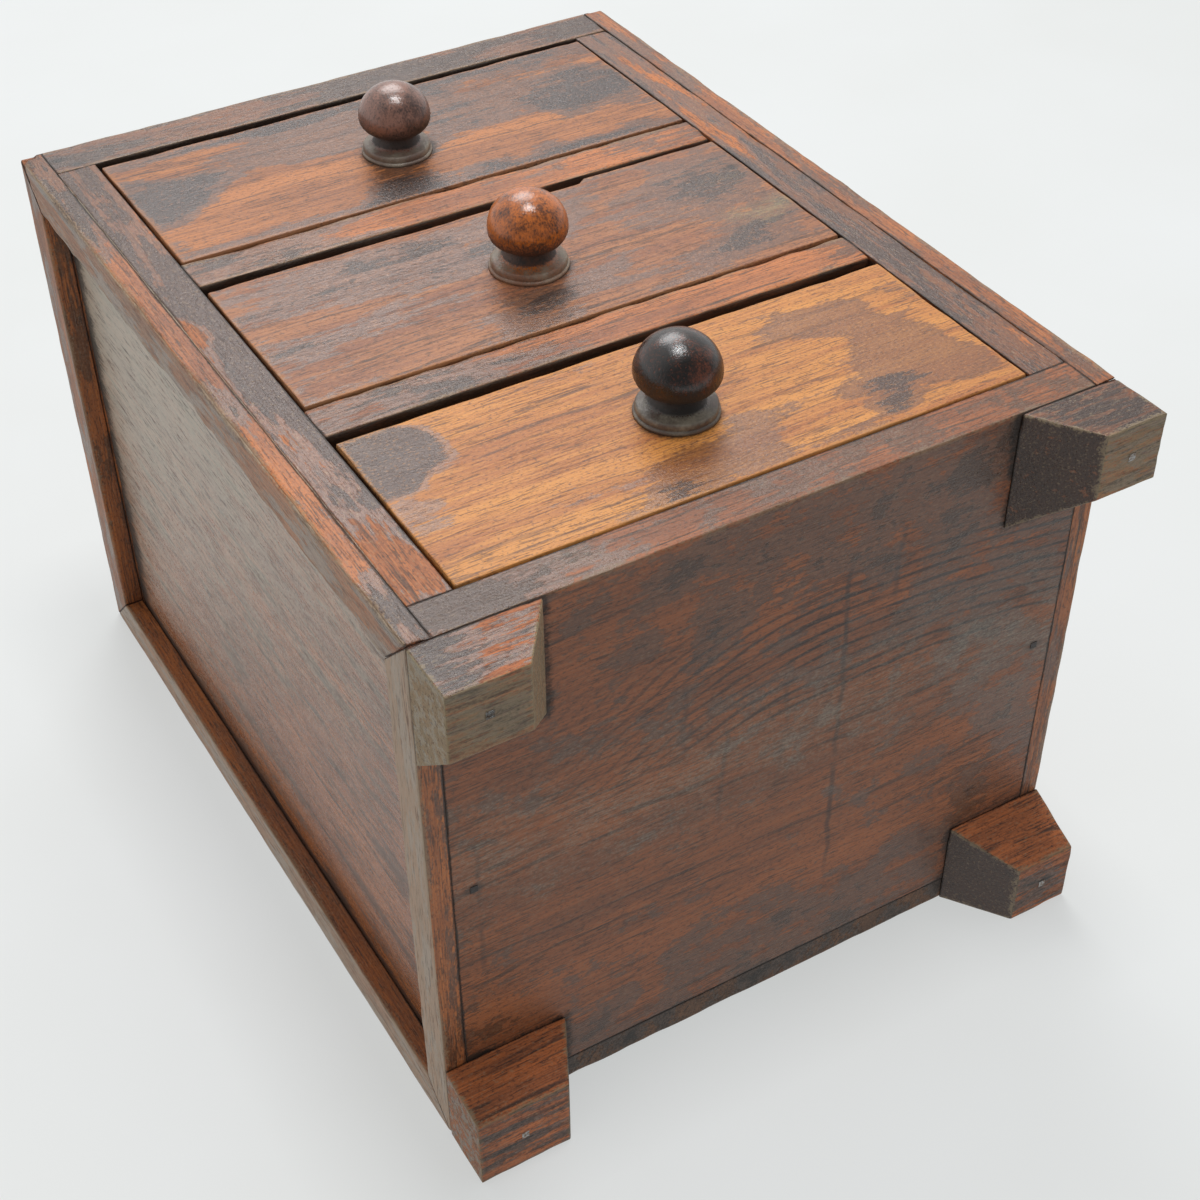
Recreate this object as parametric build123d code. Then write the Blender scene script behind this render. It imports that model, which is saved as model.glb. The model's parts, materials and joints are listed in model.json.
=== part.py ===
from build123d import *
import os

# A small standing chest of three drawers. Millimetres, +Z up, front to -Y, +X to the viewer's right.
# The origin is under the feet, at the middle of the whole outline with the knobs.

# Case
CASE_WIDTH = 190.0
CASE_DEPTH = 168.0
CASE_HEIGHT = 243.0
TOP_THICKNESS = 14.0
BOTTOM_THICKNESS = 11.7
SIDE_THICKNESS = 11.0
BACK_THICKNESS = 8.0
SHELF_THICKNESS = 12.8
HOUSING_DEPTH = 3.0
HOUSING_SETBACK = 14.0

# Mitred frame on each side
STRIP_THICKNESS = 6.2
STRIP_WIDTH = 12.0
STRIP_BEVEL = 0.8

# Feet, cut by hand: width and depth where they meet the case, then at the tip
FOOT_HEIGHT = 17.5
FOOT_BEVEL = 0.8
FRONT_LEFT_FOOT = {"top": (32.5, 34.0), "tip": (20.0, 18.5)}
FRONT_RIGHT_FOOT = {"top": (29.5, 34.0), "tip": (18.0, 18.5)}
BACK_LEFT_FOOT = {"top": (35.0, 26.5), "tip": (26.0, 23.5)}
BACK_RIGHT_FOOT = {"top": (31.5, 28.5), "tip": (19.0, 20.0)}

# Side, whether at the front, and sizes of each foot
FEET = {
    "front_left": (-1, True, FRONT_LEFT_FOOT),
    "front_right": (1, True, FRONT_RIGHT_FOOT),
    "back_left": (-1, False, BACK_LEFT_FOOT),
    "back_right": (1, False, BACK_RIGHT_FOOT),
}

# Drawers
DRAWER_NAMES = ("bottom", "middle", "top")
DRAWER_FRONT_THICKNESS = 11.0
DRAWER_SIDE_THICKNESS = 8.0
DRAWER_BACK_THICKNESS = 7.0
DRAWER_BOTTOM_THICKNESS = 4.0
DRAWER_BOTTOM_LIFT = 4.0
DRAWER_RIM_DROP = 3.0
GROOVE_DEPTH = 3.0
FRONT_BEVEL = 0.7

# Clearances round a drawer
DRAWER_SIDE_GAP = 0.6
DRAWER_TOP_GAP = 3.6
DRAWER_RUN_GAP = 0.3
DRAWER_STOP_GAP = 0.5

# Turned knob, cut in straight bands whose heights count from the drawer front
KNOB_PROJECTION = 21.6
KNOB_TENON_DIAMETER = 7.0
KNOB_RING_DIAMETER = 20.2
KNOB_RING_HEIGHT = 1.2
KNOB_FLANGE_DIAMETER = 19.0
KNOB_FLANGE_HEIGHT = 3.0
KNOB_NECK_DIAMETER = 11.4
KNOB_NECK_HEIGHT = 6.4
KNOB_GIRTH_DIAMETER = 20.6
KNOB_GIRTH_HEIGHT = 10.8
KNOB_SHOULDER_DIAMETER = 17.0
KNOB_SHOULDER_HEIGHT = 17.2
KNOB_CROWN_DIAMETER = 8.0

# How far each knob sits to the right of the middle of its drawer front, and above it
KNOB_OFFSETS = {"bottom": (-2.8, 0.3), "middle": (-0.5, -1.0), "top": (-2.0, -3.9)}

# Square cut nails
NAIL_HEAD = 2.0
NAIL_TAPER = 1.2
CASE_NAIL_LENGTH = 28.0
CASE_NAIL_INSET = 18.0
BACK_NAIL_LENGTH = 20.0
BACK_NAIL_INSET = 40.0
FOOT_NAIL_LENGTH = 24.0
DRAWER_NAIL_LENGTH = 22.0
DRAWER_NAIL_INSET = 11.0

# Planes worked out from the sizes above
X_OUT = CASE_WIDTH / 2
X_SIDE = X_OUT - STRIP_THICKNESS
X_BAY = X_SIDE - SIDE_THICKNESS
Y_FRONT = (KNOB_PROJECTION - CASE_DEPTH) / 2
Y_BACK = Y_FRONT + CASE_DEPTH
Y_BOARD = Y_BACK - BACK_THICKNESS
Z_BASE = FOOT_HEIGHT
Z_FLOOR = Z_BASE + BOTTOM_THICKNESS
Z_TOP = Z_BASE + CASE_HEIGHT
Z_ROOF = Z_TOP - TOP_THICKNESS
BAY_COUNT = len(DRAWER_NAMES)
BAY_HEIGHT = (Z_ROOF - Z_FLOOR - (BAY_COUNT - 1) * SHELF_THICKNESS) / BAY_COUNT
BAY_PITCH = BAY_HEIGHT + SHELF_THICKNESS


def block(x, y, z):
    """A board between a low and a high limit along each axis."""
    middle = [(low + high) / 2 for low, high in (x, y, z)]
    size = [high - low for low, high in (x, y, z)]
    return Pos(*middle) * Box(*size)


def mirrored(piece):
    """The same piece for the other side of the chest."""
    return mirror(piece, about=Plane.YZ)


def nail(head, direction, length):
    """A square nail that tapers from its head, driven along a direction."""
    shank = extrude(Rectangle(NAIL_HEAD, NAIL_HEAD), amount=length, taper=NAIL_TAPER)
    return Plane(origin=head, z_dir=direction) * shank


# Nails

def case_nails():
    """Nails down through the top board and up through the bottom board, into the side boards."""
    middle_x = X_BAY + SIDE_THICKNESS / 2
    rows = (Y_FRONT + CASE_NAIL_INSET, (Y_FRONT + Y_BOARD) / 2, Y_BOARD - CASE_NAIL_INSET)
    nails = []
    for x in (-middle_x, middle_x):
        for y in rows:
            nails.append(nail((x, y, Z_TOP), (0, 0, -1), CASE_NAIL_LENGTH))
            nails.append(nail((x, y, Z_BASE), (0, 0, 1), CASE_NAIL_LENGTH))
    return nails


def back_nails():
    """Nails through the back board into the rear edges of the case."""
    side_x = X_BAY + SIDE_THICKNESS / 2
    middle_z = (Z_FLOOR + Z_ROOF) / 2
    spread_z = (Z_ROOF - Z_FLOOR) / 2 - BACK_NAIL_INSET
    places = [(x, z) for x in (-side_x, side_x) for z in (middle_z - spread_z, middle_z + spread_z)]
    spread_x = X_SIDE - BACK_NAIL_INSET
    edges = (Z_BASE + BOTTOM_THICKNESS / 2, Z_TOP - TOP_THICKNESS / 2)
    places += [(x, z) for x in (-spread_x, spread_x) for z in edges]
    return [nail((x, Y_BACK, z), (0, -1, 0), BACK_NAIL_LENGTH) for x, z in places]


def foot_nails():
    """One nail up through the tip of each foot into the bottom board."""
    nails = []
    for x_sign, front, sizes in FEET.values():
        width, depth = sizes["tip"]
        y = Y_FRONT + depth / 2 if front else Y_BACK - depth / 2
        nails.append(nail((x_sign * (X_OUT - width / 2), y, 0), (0, 0, 1), FOOT_NAIL_LENGTH))
    return nails


# Case

def side_board():
    """Right side board, with a stopped housing for each shelf."""
    board = block((X_BAY, X_SIDE), (Y_FRONT, Y_BOARD), (Z_FLOOR, Z_ROOF))
    for bay in range(1, BAY_COUNT):
        board -= housing(bay)
    return board


def shelf_levels(bay):
    """Lower and upper face of the shelf under a bay, counted from the bottom bay."""
    upper = Z_FLOOR + bay * BAY_PITCH
    return upper - SHELF_THICKNESS, upper


def housing(bay):
    """The end of a shelf that sits in the right side board."""
    return block((X_BAY, X_BAY + HOUSING_DEPTH), (Y_FRONT + HOUSING_SETBACK, Y_BOARD), shelf_levels(bay))


def shelf(bay):
    """Shelf under a bay, with its two housed ends."""
    board = block((-X_BAY, X_BAY), (Y_FRONT, Y_BOARD), shelf_levels(bay))
    return board + housing(bay) + mirrored(housing(bay))


def strip(outer_start, outer_end, inner_end, inner_start, length_axis):
    """One mitred strip of the right side frame, from its four corners in the YZ plane."""
    corners = [(X_SIDE, y, z) for y, z in (outer_start, outer_end, inner_end, inner_start, outer_start)]
    bar = extrude(make_face(Polyline(*corners)), amount=STRIP_THICKNESS, dir=(1, 0, 0))
    arrises = bar.faces().sort_by(Axis.X)[-1].edges().filter_by(length_axis)
    return chamfer(arrises, STRIP_BEVEL)


def side_frame():
    """The four strips round the right side board."""
    y0, y1, z0, z1 = Y_FRONT, Y_BACK, Z_BASE, Z_TOP
    w = STRIP_WIDTH
    outer = [(y0, z0), (y1, z0), (y1, z1), (y0, z1)]
    inner = [(y0 + w, z0 + w), (y1 - w, z0 + w), (y1 - w, z1 - w), (y0 + w, z1 - w)]
    frame = {}
    for i, name in enumerate(("bottom", "back", "top", "front")):
        j = (i + 1) % len(outer)
        axis = Axis.Y if name in ("top", "bottom") else Axis.Z
        frame[name] = strip(outer[i], outer[j], inner[j], inner[i], axis)
    return frame


def foot(x_sign, front, sizes):
    """Corner foot with upright outer faces and slanted inner faces, as two saw cuts leave it."""
    x, y = x_sign * X_OUT, Y_FRONT if front else Y_BACK
    y_sign = 1 if front else -1
    (top_width, top_depth), (tip_width, tip_depth) = sizes["top"], sizes["tip"]
    heel, head = (x, y, 0), (x, y, FOOT_HEIGHT)
    width_cut = [(x - x_sign * tip_width, y, 0), (x - x_sign * top_width, y, FOOT_HEIGHT)]
    depth_cut = [(x, y + y_sign * tip_depth, 0), (x, y + y_sign * top_depth, FOOT_HEIGHT)]
    seen_from_front = make_face(Polyline(heel, *width_cut, head, heel))
    seen_from_side = make_face(Polyline(heel, *depth_cut, head, heel))
    wedge = extrude(seen_from_front, amount=top_depth, dir=(0, y_sign, 0))
    wedge &= extrude(seen_from_side, amount=top_width, dir=(-x_sign, 0, 0))
    return chamfer(wedge.edges().filter_by(Axis.Z), FOOT_BEVEL)


# Drawers

def knob():
    """Turned knob along +Z with its shoulder at z = 0 and its tenon below."""
    bands = [
        (KNOB_TENON_DIAMETER, -DRAWER_FRONT_THICKNESS),
        (KNOB_TENON_DIAMETER, 0),
        (KNOB_RING_DIAMETER, 0),
        (KNOB_RING_DIAMETER, KNOB_RING_HEIGHT),
        (KNOB_FLANGE_DIAMETER, KNOB_RING_HEIGHT),
        (KNOB_FLANGE_DIAMETER, KNOB_FLANGE_HEIGHT),
        (KNOB_NECK_DIAMETER, KNOB_FLANGE_HEIGHT),
        (KNOB_NECK_DIAMETER, KNOB_NECK_HEIGHT),
        (KNOB_GIRTH_DIAMETER, KNOB_GIRTH_HEIGHT),
        (KNOB_SHOULDER_DIAMETER, KNOB_SHOULDER_HEIGHT),
        (KNOB_CROWN_DIAMETER, KNOB_PROJECTION),
    ]
    centre = [(0, 0, KNOB_PROJECTION), (0, 0, -DRAWER_FRONT_THICKNESS)]
    outline = [(diameter / 2, 0, height) for diameter, height in bands]
    return revolve(make_face(Polyline(*centre, *outline, centre[0])), axis=Axis.Z)


def drawer_nails(half, y_rear, z0, z_rim):
    """Nails of one drawer: front to sides, sides to back, bottom to back."""
    side_x = half - DRAWER_SIDE_THICKNESS / 2
    back_y = y_rear - DRAWER_BACK_THICKNESS / 2
    panel_z = z0 + DRAWER_BOTTOM_LIFT
    heights = (z0 + DRAWER_NAIL_INSET, z_rim - DRAWER_NAIL_INSET)
    nails = []
    for sign in (-1, 1):
        for z in heights:
            nails.append(nail((sign * side_x, Y_FRONT, z), (0, 1, 0), DRAWER_NAIL_LENGTH))
            nails.append(nail((sign * half, back_y, z), (-sign, 0, 0), DRAWER_NAIL_LENGTH))
        nails.append(nail((sign * half / 2, back_y, panel_z), (0, 0, 1), DRAWER_NAIL_LENGTH))
    return nails


def drawer(bay, name):
    """The pieces of the drawer in one bay, by name."""
    half = X_BAY - DRAWER_SIDE_GAP
    z0 = Z_FLOOR + bay * BAY_PITCH + DRAWER_RUN_GAP
    z_top = Z_FLOOR + bay * BAY_PITCH + BAY_HEIGHT - DRAWER_TOP_GAP
    z_rim = z_top - DRAWER_RIM_DROP
    y_seat = Y_FRONT + DRAWER_FRONT_THICKNESS
    y_rear = Y_BOARD - DRAWER_STOP_GAP
    inner = half - DRAWER_SIDE_THICKNESS
    panel = (z0 + DRAWER_BOTTOM_LIFT, z0 + DRAWER_BOTTOM_LIFT + DRAWER_BOTTOM_THICKNESS)

    bottom = block((-inner - GROOVE_DEPTH, inner + GROOVE_DEPTH), (y_seat - GROOVE_DEPTH, y_rear), panel)
    front = block((-half, half), (Y_FRONT, y_seat), (z0, z_top))
    front = chamfer(front.faces().sort_by(Axis.Y)[0].edges(), FRONT_BEVEL)
    right = block((inner, half), (y_seat, y_rear), (z0, z_rim)) - bottom
    back = block((-inner, inner), (y_rear - DRAWER_BACK_THICKNESS, y_rear), (panel[1], z_rim))
    knob_right, knob_up = KNOB_OFFSETS[name]
    turned = Pos(knob_right, Y_FRONT, (z0 + z_top) / 2 + knob_up) * Rot(X=90) * knob()

    nails = drawer_nails(half, y_rear, z0, z_rim)
    boards = {"front": front - bottom - turned, "right_side": right, "left_side": mirrored(right),
              "back": back, "bottom": bottom}
    pieces = {part_name: board - nails for part_name, board in boards.items()}
    return {**pieces, "knob": turned, "nails": Compound(nails)}


def case():
    """The fixed pieces by name, with their nails."""
    wide = (-X_SIDE, X_SIDE)
    deep = (Y_FRONT, Y_BOARD)
    right_side = side_board()
    boards = {
        "top_board": block(wide, deep, (Z_ROOF, Z_TOP)),
        "bottom_board": block(wide, deep, (Z_BASE, Z_FLOOR)),
        "back_board": block(wide, (Y_BOARD, Y_BACK), (Z_BASE, Z_TOP)),
        "right_side_board": right_side,
        "left_side_board": mirrored(right_side),
        "lower_shelf": shelf(1),
        "upper_shelf": shelf(2),
    }
    for name, bar in side_frame().items():
        boards[f"right_{name}_strip"] = bar
        boards[f"left_{name}_strip"] = mirrored(bar)
    for name, place in FEET.items():
        boards[f"{name}_foot"] = foot(*place)

    nails = {"case_nails": case_nails(), "back_nails": back_nails(), "foot_nails": foot_nails()}
    every_nail = [one for group in nails.values() for one in group]
    pieces = {name: board - every_nail for name, board in boards.items()}
    return {**pieces, **{name: Compound(group) for name, group in nails.items()}}


def chest():
    """Every piece of the chest by name."""
    pieces = case()
    for bay, name in enumerate(DRAWER_NAMES):
        for part_name, piece in drawer(bay, name).items():
            pieces[f"{name}_drawer_{part_name}"] = piece
    return pieces


os.makedirs("parts", exist_ok=True)
for node, piece in chest().items():
    export_step(piece, f"parts/{node}.step")
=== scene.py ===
import bpy
import json
from math import cos, hypot, pi, radians, sin
from mathutils import Matrix, Vector, noise

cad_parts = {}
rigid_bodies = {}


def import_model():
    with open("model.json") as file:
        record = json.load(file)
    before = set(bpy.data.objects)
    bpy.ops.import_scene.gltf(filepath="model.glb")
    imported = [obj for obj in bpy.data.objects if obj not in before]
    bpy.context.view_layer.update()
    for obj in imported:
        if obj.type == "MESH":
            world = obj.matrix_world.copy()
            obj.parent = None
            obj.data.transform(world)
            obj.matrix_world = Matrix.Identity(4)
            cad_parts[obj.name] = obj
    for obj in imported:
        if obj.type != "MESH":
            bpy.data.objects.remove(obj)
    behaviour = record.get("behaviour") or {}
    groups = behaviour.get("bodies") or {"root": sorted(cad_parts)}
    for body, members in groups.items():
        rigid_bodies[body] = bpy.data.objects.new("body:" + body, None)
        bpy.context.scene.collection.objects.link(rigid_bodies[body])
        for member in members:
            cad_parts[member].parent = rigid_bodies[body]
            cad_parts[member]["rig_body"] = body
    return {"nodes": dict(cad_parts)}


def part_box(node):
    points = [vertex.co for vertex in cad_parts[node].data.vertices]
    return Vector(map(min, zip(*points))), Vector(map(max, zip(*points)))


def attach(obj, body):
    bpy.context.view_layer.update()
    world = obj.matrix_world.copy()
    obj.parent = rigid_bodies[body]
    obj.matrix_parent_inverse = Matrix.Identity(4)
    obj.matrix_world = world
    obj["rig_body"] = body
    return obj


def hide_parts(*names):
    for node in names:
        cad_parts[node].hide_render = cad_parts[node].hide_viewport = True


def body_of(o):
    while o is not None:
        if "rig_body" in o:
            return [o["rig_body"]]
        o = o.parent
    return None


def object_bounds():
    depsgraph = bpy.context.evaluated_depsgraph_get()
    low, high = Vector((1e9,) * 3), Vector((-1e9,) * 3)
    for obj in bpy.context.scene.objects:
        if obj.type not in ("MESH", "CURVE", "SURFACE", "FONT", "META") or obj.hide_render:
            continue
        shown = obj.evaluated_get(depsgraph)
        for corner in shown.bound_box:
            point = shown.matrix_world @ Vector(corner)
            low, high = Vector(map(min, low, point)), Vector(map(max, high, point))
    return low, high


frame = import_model()
cad_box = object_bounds()
chest_middle = (cad_box[0] + cad_box[1]) / 2

# A small old chest of three drawers. Sizes here are in millimetres, and the frame is in metres.
MM = 0.001
AXES = "xyz"

# Noise vectors start from the clock unless a seed is set, and would then differ from run to run
noise.seed_set(12)

# The photographed view: the chest lies on its back, so that its front is up in the picture
SENSOR_WIDTH = 36.0
FOCAL_LENGTH = 60.165
LENS_SHIFT_UP = 0.05
EYE = Vector((-214.94, -342.95, -266.75))
VIEW_DIRECTION = Vector((0.376, 0.66626, 0.64399))
PICTURE_UP = Vector((0.0, -1.0, 0.0))
ROLL = radians(0.486)

# Light: a soft box over the front, a wide window beyond the top, and a pale room, darker behind the camera
SOFT_BOX = {"direction": (0.04, -0.975, -0.02), "distance": 1060.0, "size": 210.0, "watts": 4.2}
WINDOW = {"direction": (0.20, -0.76, 0.62), "distance": 1500.0, "size": 800.0, "watts": 10.0}
ROOM_LIGHT = 0.52
ROOM_SEEN = 0.92
ROOM_BEHIND = 0.2
FLOOR_SIZE = 4000.0
FLOOR_GLOW = 0.58

# Worn boards: where they are cut near an edge, how far their edges are rounded and chipped, how uneven they
# are, how finely they are cut, how deep a mark on a face goes, and the marks of a board for its material
EDGE_CUTS = (0.0, 0.3, 0.7, 1.3, 2.2, 3.6)
SEAM_RADIUS, SEAM_REACH = 0.1, 4.0
WORN_RADIUS, WEAR_REACH, WEAR_START = 0.9, 6.0, 0.3
LONG_CHIPS, LONG_CHIP_LENGTH = 0.7, 11.0
SHORT_CHIPS, SHORT_CHIP_LENGTH = 0.5, 5.0
JOINT_GAP = 0.03
SWELL, SWELL_LENGTH = 0.16, 38.0
RIPPLE, RIPPLE_LENGTH = 0.05, 9.0
FRONT_PROUD = 0.3
FINE_STEP = 2.6
FOOT_STEP = 2.0
COARSE_STEP = 7.0
FACE_DEPTH = EDGE_CUTS[1]
MARKS = ("wear", "dirt_and_shade", "dust", "gloss", "stain", "film")

# Faces of a board, as pairs of axis and side
FRONT_FACE = (1, False)
LOWER_FACE = (2, False)

# Edges that are worn more than the rest: a splintered front corner and the shelves
SPLINTERED_RADIUS = 2.4
SHELF_WORN_RADIUS = 1.7

# Varnish: how much is left on the strips, how much more of it darkens the inner sides of the feet as painted
# shade, how much more or less of it is on the fronts of the feet and on the sunk panels, how much is taken
# off the back strips to lighten them as painted light, and how much glossier the panels are
STRIP_COVER = 0.28
INNER_SHADE = {"front_left": 0.0, "front_right": 0.38, "back_left": 0.38, "back_right": 0.6}
FOOT_FRONTS = {"front": 0.05, "back": -0.2}
PANEL_RUBBED = -0.24
BACK_STRIP_PAINTED_LIGHT = -0.5
PANEL_GLOSS = 0.34

# Dust on strips and feet: outside, on the strips' edges, on the splintered corner, on tips, and on the inner
# side of the front left foot, where it also lightens that face as painted light
SIDE_DUST = {"front": 0.56, "back": 0.7, "bottom": 0.95, "top": 0.4}
FOOT_DUST = {"front": 0.95, "back": 0.5}
RECESS_DUST = {"front": 0.2, "back": 0.3, "bottom": 0.15, "top": 0.3}
SPLINTER_DUST = 0.35
TIP_DUST = {"front": 0.64, "back": 0.25}
INNER_DUST_AND_LIGHT = {"front_left": 0.75}

# Dust on the sunk panels, at its most towards the front and towards the top, where its pale colour also
# stands in for a painted sheen, and on the bottom board: on its underside thickest towards its middle, where
# it is also a painted greyish sheen, and on its front edge
PANEL_DUST_AND_SHEEN_FORWARD = 0.6
PANEL_DUST_AND_SHEEN_UPWARD = 0.45
UNDERSIDE_DUST_AND_SHEEN = 0.48
UNDERSIDE_DUST_AND_SHEEN_REACH = 70.0
BOTTOM_EDGE_DUST = 0.3

# Dark marks, and how far they reach: painted shade on the panels below the top strip and before the back
# strip, dirt and painted shade in the gaps above and below the drawers and round the feet, and dirt round the
# knobs, on the feet's tips and on the lower edge of the back
PANEL_SHADE = 1.3
PANEL_SHADE_BELOW = 15.6
PANEL_SHADE_BEFORE = 5.4
GAP_DIRT_AND_SHADE = 1.2
GAP_DIRT_AND_SHADE_START = 3.0
GAP_DIRT_AND_SHADE_DEPTH = 30.0
FOOT_DIRT_AND_SHADE_REACH = 4.0
KNOB_DIRT_REACH = 5.0
TIP_DIRT = {"front": 0.42, "back": 0.54}
BACK_EDGE_DIRT = 0.6

# Arched grain on the underside: where its arches peak, how they bend left and right of that, how far apart
# they lie, and from where to where towards the back
ARCH_PEAK = 18.0
ARCH_BENDS = (0.0046, 0.0016)
ARCH_SPACING = 3.8
ARCH_BAND = (-48.0, -7.0)

# Dark lines on the underside where something ran down it: their place from the middle, from where to where
# towards the back, and how dark they are
DRIPS = [
    (20.0, -46.0, 64.0, 0.8),
    (3.0, -15.0, 22.0, 0.55),
    (-14.5, -10.0, 26.0, 0.6),
    (-26.5, -28.0, 2.0, 0.45),
    (34.0, -51.0, -14.0, 0.5),
    (-82.0, -10.0, 50.0, 0.45),
]

# Nail holes that show as dark spots, by board
NAIL_SPOTS = {
    "bottom_board": [(-83.3, 6.8, 17.5), (83.3, 6.8, 17.5)],
    "middle_drawer_front": [(73.2, -73.2, 152.2)],
    "top_board": [(-86.0, -73.2, 254.0), (-82.0, -73.2, 249.0)],
}
NAIL_SPOT_RADIUS = 1.5

# How far the ends of a shelf are housed in the side boards, out of sight
HOUSING_DEPTH = 3.0

# Width and depth of each foot at its tip
FOOT_TIPS = {
    "front_left": (20.0, 18.5),
    "front_right": (18.0, 18.5),
    "back_left": (26.0, 23.5),
    "back_right": (19.0, 20.0),
}


def srgb(red, green, blue):
    """A colour as the eye reads it, from 0 to 255, as the linear colour that a shader takes."""
    def linear(value):
        part = value / 255
        return part / 12.92 if part <= 0.04045 else ((part + 0.055) / 1.055) ** 2.4
    return (linear(red), linear(green), linear(blue), 1.0)


def finish(cover, patch, polish=0.5, dust=(156, 148, 132), **colours):
    """Old varnished wood: how much varnish is left, size of its patches, bare roughness, and colours."""
    linear = {name: srgb(*colour) for name, colour in colours.items()}
    return {**linear, "dust": srgb(*dust), "cover": cover, "patch": patch, "polish": polish}


# Bare wood from light to deep, its grain lines, thin film and thick crust of old varnish, rubbed edges, and
# dust, whose pale colour on the side boards also stands in for a painted sheen on the sunk panels
FINISHES = {
    "bottom_front": finish(
        light=(206, 138, 64), deep=(164, 98, 48), line=(82, 54, 40), film=(126, 82, 54), crust=(56, 50, 50),
        worn=(198, 138, 76), cover=0.16, patch=(40.0, 12.0)),
    "middle_front": finish(
        light=(166, 107, 65), deep=(132, 81, 54), line=(66, 48, 40), film=(106, 77, 63), crust=(56, 50, 48),
        worn=(176, 122, 78), dust=(164, 148, 104), cover=0.32, patch=(36.0, 9.0)),
    "top_front": finish(
        light=(180, 112, 58), deep=(130, 78, 46), line=(58, 44, 38), film=(84, 57, 44), crust=(46, 43, 44),
        worn=(170, 114, 74), cover=0.32, patch=(44.0, 12.0)),
    "case": finish(
        light=(192, 114, 56), deep=(134, 78, 46), line=(52, 42, 36), film=(100, 68, 50), crust=(54, 44, 39),
        worn=(150, 122, 92), dust=(178, 160, 138), cover=0.35, patch=(26.0, 6.0)),
    "side": finish(
        light=(188, 112, 58), deep=(136, 80, 48), line=(52, 42, 36), film=(98, 64, 46), crust=(54, 40, 35),
        worn=(152, 128, 98), dust=(206, 197, 178), cover=0.46, patch=(36.0, 6.0), polish=0.6),
    "underside": finish(
        light=(160, 92, 48), deep=(122, 72, 44), line=(62, 46, 38), film=(98, 66, 47), crust=(62, 43, 32),
        worn=(130, 106, 82), cover=0.27, patch=(14.0, 10.0)),
    "foot": finish(
        light=(192, 108, 54), deep=(126, 74, 46), line=(50, 40, 36), film=(94, 66, 50), crust=(45, 38, 35),
        worn=(150, 132, 104), dust=(152, 136, 104), cover=0.30, patch=(18.0, 2.6), polish=0.66),
    "back": finish(
        light=(122, 84, 56), deep=(92, 64, 44), line=(48, 38, 32), film=(78, 58, 44), crust=(52, 45, 39),
        worn=(128, 104, 80), cover=0.32, patch=(60.0, 10.0), polish=0.6),
    "inside": finish(
        light=(164, 122, 82), deep=(130, 92, 60), line=(84, 58, 40), film=(116, 82, 56), crust=(86, 64, 46),
        worn=(176, 136, 94), cover=0.2, patch=(50.0, 16.0), polish=0.65),
}

# The varnish of the top board lies in larger patches
FINISHES["top"] = {**FINISHES["case"], "film": srgb(94, 58, 38), "patch": (60.0, 15.0)}

# Old varnish left on a board, or rubbed off it: place and half lengths on its front, and more or less of it
PATCHES = {
    "bottom_drawer_front": [
        (-71, 79, 15.5, 15, 1.2),
        (-74, 60, 9, 16, 0.35),
        (-30, 62, 40, 22, -0.2),
        (30, 76, 18, 14, -0.2),
        (54, 80, 14, 8, -0.3),
        (48, 41, 12, 8, 0.5),
        (-16, 34, 12, 5, 0.45),
    ],
    "middle_drawer_front": [
        (-30, 152, 50, 12, 0.2),
        (-50, 116, 30, 10, -0.25),
        (-12, 116, 16, 9, 0.3),
        (62, 124, 18, 10, 0.2),
        (66, 152, 18, 14, 0.26),
        (30, 130, 24, 14, -0.12),
    ],
    "top_drawer_front": [
        (-55, 232.5, 20, 6, -0.7),
        (-30, 212, 26, 8, -0.4),
        (-66, 217, 16, 14, 0.32),
        (-12, 192, 16, 12, 0.35),
        (62, 216, 18, 13, 0.4),
        (0, 240, 90, 5, 0.3),
        (34, 185, 56, 4, 0.25),
        (-45, 198, 34, 10, -0.4),
        (40, 197, 30, 10, -0.25),
    ],
    "left_side_board": [
        (-88, 151, 3.5, 8, -0.6),
        (-80, 138, 6, 44, 0.45),
        (-84, 46, 6, 18, -0.4),
        (-82, 232, 8, 22, 0.2),
    ],
    "right_side_board": [
        (84, 200, 8, 30, -0.15),
        (83, 110, 8, 50, 0.1),
        (84, 64, 8, 16, -0.02),
    ],
    "left_front_strip": [
        (-92, 160, 6, 30, -0.4),
        (-92, 235, 6, 26, 0.35),
        (-92, 70, 6, 36, -0.2),
        (-92, 27, 6, 14, 0.4),
    ],
    "bottom_board": [(-77, 24, 20, 12, 0.45)],
    "top_board": [(0, 253, 140, 14, 0.22)],
    "upper_shelf": [(-60, 176, 26, 9, 0.12), (20, 176, 50, 9, -0.25)],
    "lower_shelf": [(-50, 99, 30, 9, 0.2), (30, 99, 44, 9, -0.35)],
    "front_left_foot": [(-91, 11, 11, 13, 0.3)],
    "front_right_foot": [(84, 9, 20, 14, 0.24)],
}

# Places where only a thin brown film of it is left, in the same way
FILM_PATCHES = {
    "bottom_drawer_front": [
        (44, 72, 20, 16, 0.4),
        (66, 52, 18, 16, 0.55),
        (58, 70, 14, 9, 0.32),
        (50, 42, 22, 12, 0.5),
        (-4, 40, 26, 13, 0.55),
    ],
    "top_drawer_front": [(-22, 229, 28, 13, 0.65), (36, 224, 50, 20, 0.55)],
}

# Dust left on the drawer fronts, in the same way
DUST_PATCHES = {
    "middle": [(66, 128, 16, 8, 0.6), (70, 150, 12, 12, 0.35)],
    "bottom": [(-72, 40, 8, 12, 0.35)],
}

# How far the outlines of these patches waver and over what length, how far out they fade and how steeply, and
# how far they reach in from the front
PATCH_WAVER, PATCH_WAVER_LENGTH = 5.0, 13.0
PATCH_FADE, PATCH_FALL = 1.2, 0.6
PATCH_DEPTH = 3.0

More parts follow.
